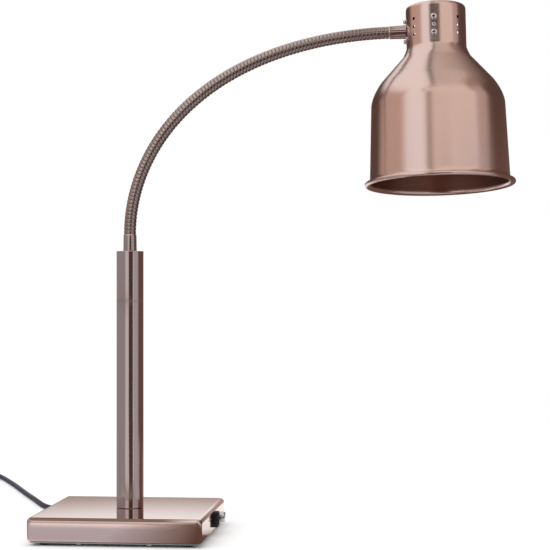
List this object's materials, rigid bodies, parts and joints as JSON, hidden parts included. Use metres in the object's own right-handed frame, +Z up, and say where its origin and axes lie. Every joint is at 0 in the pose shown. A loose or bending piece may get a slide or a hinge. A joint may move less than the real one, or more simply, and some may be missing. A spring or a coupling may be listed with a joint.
{
  "type": "food heat lamp",
  "caption": "Table-top food heat lamp: weighted square base with switch and dimmer, round post, bendable ribbed arm and a spun bell shade over a reflector bulb.",
  "frame": {"origin": "under the post, on the underside of the floor plate's pressed-out middle panel, 2.2 mm above the table", "axes": "+X along the base's front edge to the right, the way the arm points; +Y to the back; +Z up"},
  "size_m": [0.8963, 0.7132, 0.6196],
  "materials": {
    "copper": "brushed satin copper-tone coating",
    "hose": "copper-plated wound steel strip",
    "spun": "spun and brushed, copper-tone finish",
    "copper_dark": "satin copper-tone coating",
    "steel": "zinc-plated sheet",
    "raw_steel": "zinc-plated mild steel",
    "bright": "bright plated",
    "brass": "nickel-free brass",
    "rubber": "matt black",
    "black_plastic": "fine-grained black",
    "cord": "smooth dark navy PVC",
    "white_plastic": "smooth white",
    "ceramic": "unglazed steatite",
    "glass": "ruby-tinted"
  },
  "bodies": {
    "stand": {"base_cover": "copper", "base_plate": "raw_steel", "ballast_plate": "raw_steel", "foot_1": "rubber", "foot_2": "rubber", "foot_3": "rubber", "foot_4": "rubber", "plate_screw_1": "bright", "plate_screw_2": "bright", "plate_screw_3": "bright", "plate_screw_4": "bright", "post_tube": "copper", "post_base_plug": "raw_steel", "post_top_plug": "copper_dark", "post_stud": "steel", "post_nut": "steel", "lower_ferrule": "copper", "gooseneck_1": "hose", "switch_body": "black_plastic", "dimmer_body": "black_plastic", "dimmer_nut": "steel", "terminal_block": "white_plastic", "mains_tail": "cord", "strain_relief": "rubber", "mains_cord": "cord", "cord_coil": "cord", "coil_tie": "black_plastic", "plug_body": "black_plastic", "plug_pin_1": "steel", "plug_pin_2": "steel", "lamp_lead": "white_plastic"},
    "hose_2": {"gooseneck_2": "hose"},
    "hose_3": {"gooseneck_3": "hose"},
    "hose_4": {"gooseneck_4": "hose"},
    "hose_5": {"gooseneck_5": "hose"},
    "hose_6": {"gooseneck_6": "hose"},
    "hose_7": {"gooseneck_7": "hose"},
    "head": {"gooseneck_8": "hose", "upper_ferrule": "copper", "shade": "spun", "holder_bracket": "steel", "arm_plate": "steel", "arm_nut": "steel", "front_screw_1": "bright", "front_screw_2": "bright", "front_rivet": "bright", "arm_screw_1": "bright", "arm_screw_2": "bright", "lampholder": "ceramic", "holder_screw": "bright", "screw_shell": "brass", "centre_contact": "brass", "bulb_cap": "brass", "bulb_skirt": "brass", "bulb_glass": "glass", "holder_wire_1": "white_plastic", "holder_wire_2": "white_plastic"},
    "rocker": {"switch_rocker": "black_plastic"},
    "dimmer": {"dimmer_shaft": "steel", "dimmer_knob": "bright"}
  },
  "joints": [
    {"name": "bend_1", "type": "hinge", "parent": "stand", "child": "hose_2", "pos_m": [0.00735, 0, 0.4052], "axis": [0, 1, 0], "range_deg": [-15, 15], "deforming": ["lamp_lead"]},
    {"name": "bend_2", "type": "hinge", "parent": "hose_2", "child": "hose_3", "pos_m": [0.02855, 0, 0.45392], "axis": [0.8573, 0, -0.5148], "range_deg": [-15, 15], "deforming": ["lamp_lead"]},
    {"name": "bend_3", "type": "hinge", "parent": "hose_3", "child": "hose_4", "pos_m": [0.06128, 0, 0.4958], "axis": [0, 1, 0], "range_deg": [-15, 15], "deforming": ["lamp_lead"]},
    {"name": "bend_4", "type": "hinge", "parent": "hose_4", "child": "hose_5", "pos_m": [0.10257, 0, 0.52931], "axis": [0.5477, 0, -0.8367], "range_deg": [-15, 15], "deforming": ["lamp_lead"]},
    {"name": "bend_5", "type": "hinge", "parent": "hose_5", "child": "hose_6", "pos_m": [0.14956, 0, 0.55428], "axis": [0, 1, 0], "range_deg": [-15, 15], "deforming": ["lamp_lead"]},
    {"name": "bend_6", "type": "hinge", "parent": "hose_6", "child": "hose_7", "pos_m": [0.19996, 0, 0.57141], "axis": [0.254, 0, -0.9672], "range_deg": [-15, 15], "deforming": ["lamp_lead"]},
    {"name": "bend_7", "type": "hinge", "parent": "hose_7", "child": "head", "pos_m": [0.25221, 0, 0.58167], "axis": [0, 1, 0], "range_deg": [-15, 15], "deforming": ["lamp_lead"]},
    {"name": "switch_rock", "type": "hinge", "parent": "stand", "child": "rocker", "pos_m": [0.10387, 0.005, 0.0161], "axis": [0, 1, 0], "range_deg": [-18, 0]},
    {"name": "dimmer_turn", "type": "hinge", "parent": "stand", "child": "dimmer", "pos_m": [0.1, 0.022, 0.0161], "axis": [1, 0, 0], "range_deg": [0, 270]}
  ]
}
